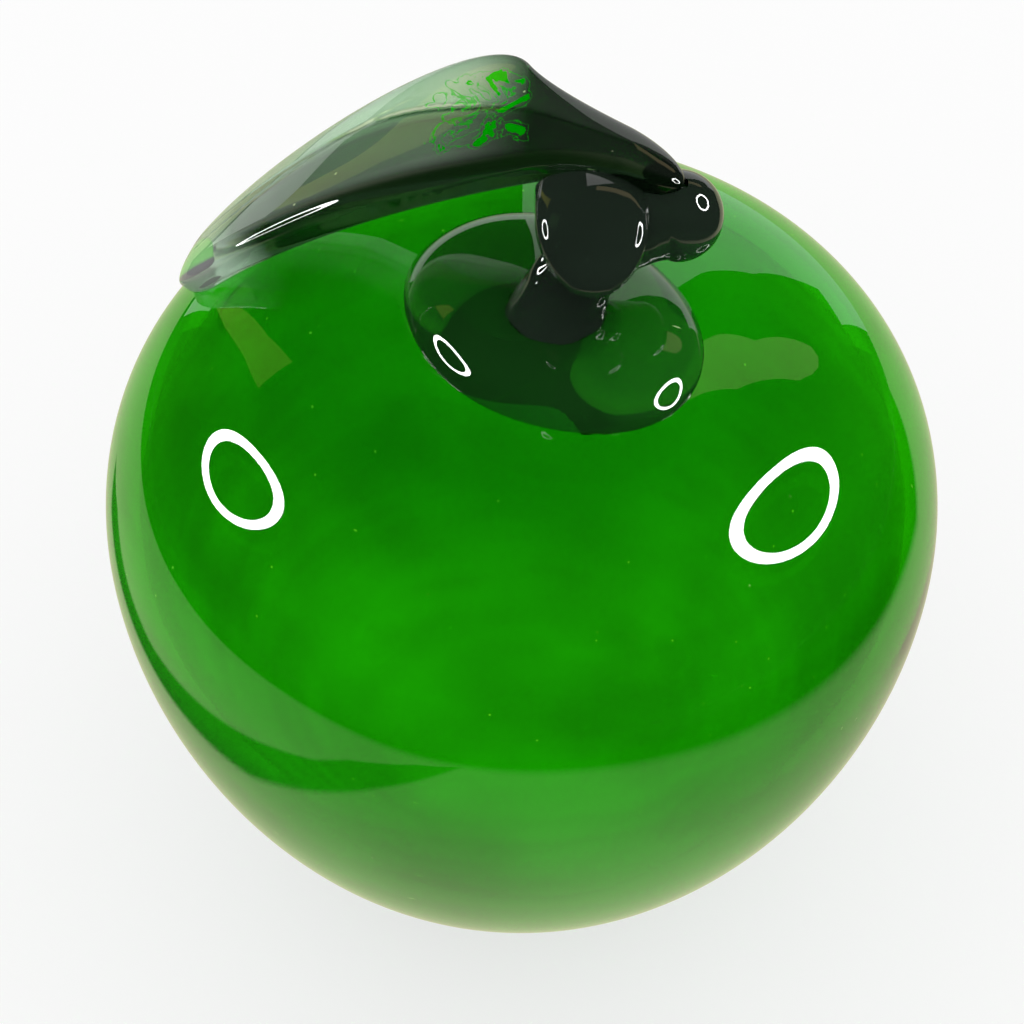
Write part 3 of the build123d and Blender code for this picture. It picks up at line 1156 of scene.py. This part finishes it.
@dataclass
class PaleCard:
    """Pale card in the tent, given by the bearings and elevations of its lower and its upper edge."""

    name: str
    lower: tuple
    upper: tuple
    strength: float = 1.0
    colour: tuple = (1.0, 1.0, 1.0)
    distance: float = 1100.0
    seen_from: tuple = (0.0, 0.0, 100.0)

    def build(self) -> None:
        """Sheet stretched between the two edges, whose points are directions times the distance."""
        turn, tilt = np.moveaxis(np.radians(np.array([self.lower, self.upper], float)), -1, 0)
        points = np.stack([np.cos(tilt) * np.cos(turn), np.cos(tilt) * np.sin(turn), np.sin(tilt)], axis=-1)
        item = stage_sheet(self.name, points * self.distance + np.array(self.seen_from))
        set_aside(item, Glow(self.name + "_light", self.colour, self.strength), through=False)


@dataclass
class Tent:
    """Dim cloth over the set, with a white table top and a white back wall, as the glass shows them.

    The table top is a squared oval that runs on to the right behind a slanting line.
    """

    radius: float = 1200.0
    floor_height: float = -0.4
    floor_through: float = 0.9
    table_height: float = -0.2
    table_span: tuple = ((-520.0, 760.0), (-360.0, 980.0))
    gloss_shade: float = 0.01
    through_shade: float = 0.75
    table_middle: tuple = (-130.0, 300.0)
    table_half: tuple = (338.0, 592.0)
    table_power: float = 3.5
    table_fade: tuple = (0.93, 1.05)
    table_line: tuple = ((160.0, 6.0), (550.0, 381.0))
    line_fade: float = 20.0
    line_start: tuple = (60.0, 120.0)
    table_colour: tuple = (1.0, 1.0, 0.65)
    table_gloss: float = 0.7
    table_steps: int = 480
    shadow_near: tuple = ((-54, -290), (-74, -50), (-124, 58), (-150, 90))
    shadow_far: tuple = (
        (-54, -290), (-94, -235), (-114, -160), (-109, -120), (-125, -7), (-137, 20), (-160, 58), (-152, 90),
    )
    shadow_blur: float = 6.0
    shadow_depth: float = 0.95
    wall_radius: float = 1000.0
    wall_bearings: tuple = (48.0, 130.0)
    wall_height: float = 260.0

    def cloth(self) -> None:
        """Dome of cloth turned about Z, over a disc of floor: dim in the gloss, and pale through the glass."""
        turn = np.linspace(0, math.pi / 2, 40)[:, None]
        angle = around(128)[None]
        radius, height = self.radius * np.cos(turn), self.radius * np.sin(turn) + 0 * angle
        points = np.stack([radius * np.cos(angle), radius * np.sin(angle), height], axis=-1)
        dome = stage_sheet("dim_tent", points, round_columns=True)
        set_aside(dome, Glow("dim_cloth", strength=self.gloss_shade, through=self.through_shade))
        radius = np.array([[1.0], [self.radius]])
        level = np.full((2, 128), self.floor_height)
        points = np.stack([radius * np.cos(angle), radius * np.sin(angle), level], axis=-1)
        disc = stage_sheet("dim_floor", points, round_columns=True)
        set_aside(disc, Glow("dim_floor", strength=self.gloss_shade, through=self.floor_through))

    @staticmethod
    def edge_at(corners: tuple, y: Array) -> Array:
        """Place along X, at each Y, of an edge that runs straight from corner to corner."""
        edge = np.array(corners, float)
        return np.interp(y, edge[:, 1], edge[:, 0])

    def shadow(self, plan: Array) -> Array:
        """Dark strip on the table, between a near and a far edge.

        Args:
            plan: points of the table, as (x, y).

        Returns:
            How dark each point is, from 0 to 1.
        """
        near = self.edge_at(self.shadow_near, plan[..., 1])
        far = self.edge_at(self.shadow_far, plan[..., 1])
        inside = np.minimum(near - plan[..., 0], plan[..., 0] - far)
        return self.shadow_depth * eased(inside, 0, self.shadow_blur)

    def table(self) -> None:
        """White table top: a sheet that glows inside its outline, fades at its edge and has the dark strip."""
        steps = [np.linspace(*span, self.table_steps) for span in self.table_span]
        plan = np.stack(np.meshgrid(*steps), axis=-1)
        share = np.abs(plan - np.array(self.table_middle)) / np.array(self.table_half)
        reach = (share**self.table_power).sum(-1) ** (1 / self.table_power)
        start, end = np.array(self.table_line)
        run = unit(end - start)
        behind = (plan - start) @ np.array([-run[1], run[0]])
        beyond = eased(behind, 0, self.line_fade) * eased(plan[..., 0], *self.line_start)
        glow = np.maximum(1 - eased(reach, *self.table_fade), beyond) * (1 - self.shadow(plan))
        height = np.full((*plan.shape[:2], 1), self.table_height)
        item = stage_sheet("white_table_top", np.concatenate([plan, height], axis=-1))
        give_attribute(item, GLOW, glow.ravel())
        set_aside(item, Glow("white_table", self.table_colour, self.table_gloss, self.floor_through, GLOW))

    def wall(self) -> None:
        """White back wall: part of an upright cylinder."""
        bearing = np.radians(np.linspace(*self.wall_bearings, 60))[None]
        level = np.linspace(0, self.wall_height, 3)[:, None]
        x, y = self.wall_radius * np.cos(bearing), self.wall_radius * np.sin(bearing)
        points = np.stack([x + 0 * level, y + 0 * level, level + 0 * bearing], axis=-1)
        item = stage_sheet("white_back_wall", points)
        set_aside(item, Glow("white_wall"))

    def build(self) -> None:
        """Put up the tent."""
        self.cloth()
        self.table()
        self.wall()


@dataclass
class Studio:
    """Camera, pale floor, soft surround, two ring lamps, a dim tent, two cards and a back panel."""

    elevation: float = 48.0
    distance: float = 270.0
    aim: tuple = (-1.33, -2.19)
    lens: float = 64.27
    sensor: float = 36.0
    look_at: tuple = (0.0, 0.0, 65.0)
    floor_half: float = 3000.0
    floor_colour: tuple = (0.95, 0.95, 0.95)
    floor_white: float = 0.65
    left_lamp: tuple = (-0.794, 0.139, 0.592)
    left_distance: float = 613.0
    right_lamp: tuple = (0.788, 0.016, 0.616)
    right_distance: float = 500.0
    kite_lower: tuple = ((128, 7), (131, 21), (132, 33), (135, 40))
    kite_upper: tuple = ((125, 8), (126, 23), (123, 36), (119, 43))
    kite_colour: tuple = (1.0, 1.0, 0.2)
    kite_strength: float = 0.55
    finger_lower: tuple = ((84, 43.5), (72, 42), (63, 40), (54, 33), (48, 27.5), (45, 26.5), (43, 28))
    finger_upper: tuple = ((84, 49), (72, 48), (61, 47), (52, 42), (46, 37.5), (44, 35.5), (42.7, 31))
    finger_colour: tuple = (1.0, 0.8, 0.45)
    finger_strength: float = 0.8
    panel_lower: tuple = ((90, 1), (82, 1), (73, 1), (66, 1), (58, 1), (54, 1), (51, 0.5))
    panel_upper: tuple = ((90, 44), (82, 41), (73, 35), (66, 29), (58, 16), (54, 7), (51, 2))

    def camera(self) -> None:
        """Camera at the photograph's angle, aimed a little off the body's middle as the photograph is."""
        tilt = math.radians(self.elevation)
        back = np.array([0, -math.cos(tilt), math.sin(tilt)])
        up = np.array([0, math.sin(tilt), math.cos(tilt)])
        target = np.array(self.look_at)
        place = target + back * self.distance
        aimed = target + np.array([self.aim[0], 0, 0]) + up * self.aim[1]
        data = bpy.data.cameras.new("camera")
        data.lens = self.lens
        data.sensor_width = self.sensor
        data.clip_start = 0.01
        item = bpy.data.objects.new("camera", data)
        bpy.context.scene.collection.objects.link(item)
        item.location = place * METRES_PER_MM
        item.rotation_euler = Vector(aimed - place).to_track_quat("-Z", "Y").to_euler()
        bpy.context.scene.camera = item

    def floor(self) -> None:
        """Pale floor, part shaded and part plain white, that the glass itself doesn't show."""
        steps = np.array([-self.floor_half, self.floor_half])
        item = stage_sheet("floor", np.stack([*np.meshgrid(steps, steps), np.zeros((2, 2))], axis=-1))
        made = bpy.data.materials.new("pale_floor")
        made.use_nodes = True
        bench = NodeBench(made.node_tree)
        nodes, links = made.node_tree.nodes, made.node_tree.links
        shader = nodes["Principled BSDF"]
        shader.inputs["Base Color"].default_value = (*self.floor_colour, 1)
        shader.inputs["Roughness"].default_value = 0.9
        shader.inputs["Specular IOR Level"].default_value = 0.0
        share = bench.math("MULTIPLY", bench.add("LightPath").outputs["Is Camera Ray"], self.floor_white)
        mix = bench.add("MixShader", {0: share, 1: shader.outputs[0], 2: bench.add("Emission").outputs[0]})
        links.new(mix.outputs[0], nodes["Material Output"].inputs["Surface"])
        item.data.materials.append(made)
        item.visible_glossy = False
        item.visible_transmission = False

    def world(self) -> None:
        """White surround."""
        made = bpy.data.worlds.new("surround")
        bpy.context.scene.world = made
        made.use_nodes = True
        made.node_tree.nodes["Background"].inputs["Color"].default_value = (1, 1, 1, 1)
        made.node_tree.nodes["Background"].inputs["Strength"].default_value = 1.0

    def build(self) -> None:
        """Set up everything that isn't the object."""
        self.camera()
        self.floor()
        self.world()
        Tent().build()
        RingLamp("left_ring_lamp", self.left_lamp, self.left_distance).build()
        RingLamp("right_ring_lamp", self.right_lamp, self.right_distance).build()
        kite = (self.kite_lower, self.kite_upper, self.kite_strength, self.kite_colour)
        finger = (self.finger_lower, self.finger_upper, self.finger_strength, self.finger_colour)
        PaleCard("left_card", *kite).build()
        PaleCard("right_card", *finger).build()
        PaleCard("back_panel", self.panel_lower, self.panel_upper).build()
        bpy.context.scene.view_settings.view_transform = "Standard"


# Assembly


@dataclass
class GlassApple:
    """The five glass pieces, each fused to its neighbours."""

    green: GlassFinish = GlassFinish(
        "apple_green_glass", (0.006, 0.3, 0.001), (0.01, 0.002, 0.012),
        cloud=0.35,
    )
    pad_dark: GlassFinish = GlassFinish(
        "pad_green_glass", (0.02, 0.15, 0.02), (0.12, 0.09, 0.12),
        transmission=0.72, seeds=0.1,
    )
    stem_dark: GlassFinish = GlassFinish(
        "stem_smoky_glass", (0.045, 0.075, 0.05), (0.3, 0.22, 0.28),
        transmission=0.72,
    )
    leaf_dark: GlassFinish = GlassFinish(
        "leaf_green_glass", (0.006, 0.02, 0.006), (0.04, 0.012, 0.036),
        transmission=0.75, cloud=0.1,
    )

    def build(self) -> None:
        """Build and dress each piece, and mark where it is buried in the others."""
        body = BlownBody()
        pad, stem = StemPad(body), Stem(body)
        leaf, lobe = Leaf(body, stem), Lobe(stem)
        self.place(body.build(), [pad, leaf], Node.BODY, Slot.GREEN, self.green)
        self.place(pad.build(), [body, stem], Node.PAD, Slot.DARK, self.pad_dark)
        self.place(stem.build(), [pad, leaf, lobe], Node.STEM, Slot.DARK, self.stem_dark)
        self.place(leaf.build(), [body, stem, lobe], Node.LEAF, Slot.DARK, self.leaf_dark)
        self.place(lobe.build(), [stem, leaf], Node.LOBE, Slot.DARK, self.stem_dark)

    @staticmethod
    def place(piece: bpy.types.Object, others: list, node: Node, slot: Slot, finish: GlassFinish) -> None:
        """Mark the buried points of a piece, dress it and let it stand for its node.

        Args:
            piece: the new glass piece.
            others: pieces that it is fused with.
            node: node that it stands for.
            slot: material slot of the record, not used.
            finish: its glass.
        """
        points = points_of(piece)
        give_attribute(piece, BURIED, np.max([other.depth(points) for other in others], axis=0))
        piece.data.materials.append(finish.material())
        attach(piece, BODY_NAME)
        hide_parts(node.value)
        log.info("%s: %d faces, stands for %s", piece.name, len(piece.data.polygons), node.value)


def main() -> None:
    """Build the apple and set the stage."""
    logging.basicConfig(level=logging.INFO)
    GlassApple().build()
    Studio().build()


if __name__ == "__main__":
    main()
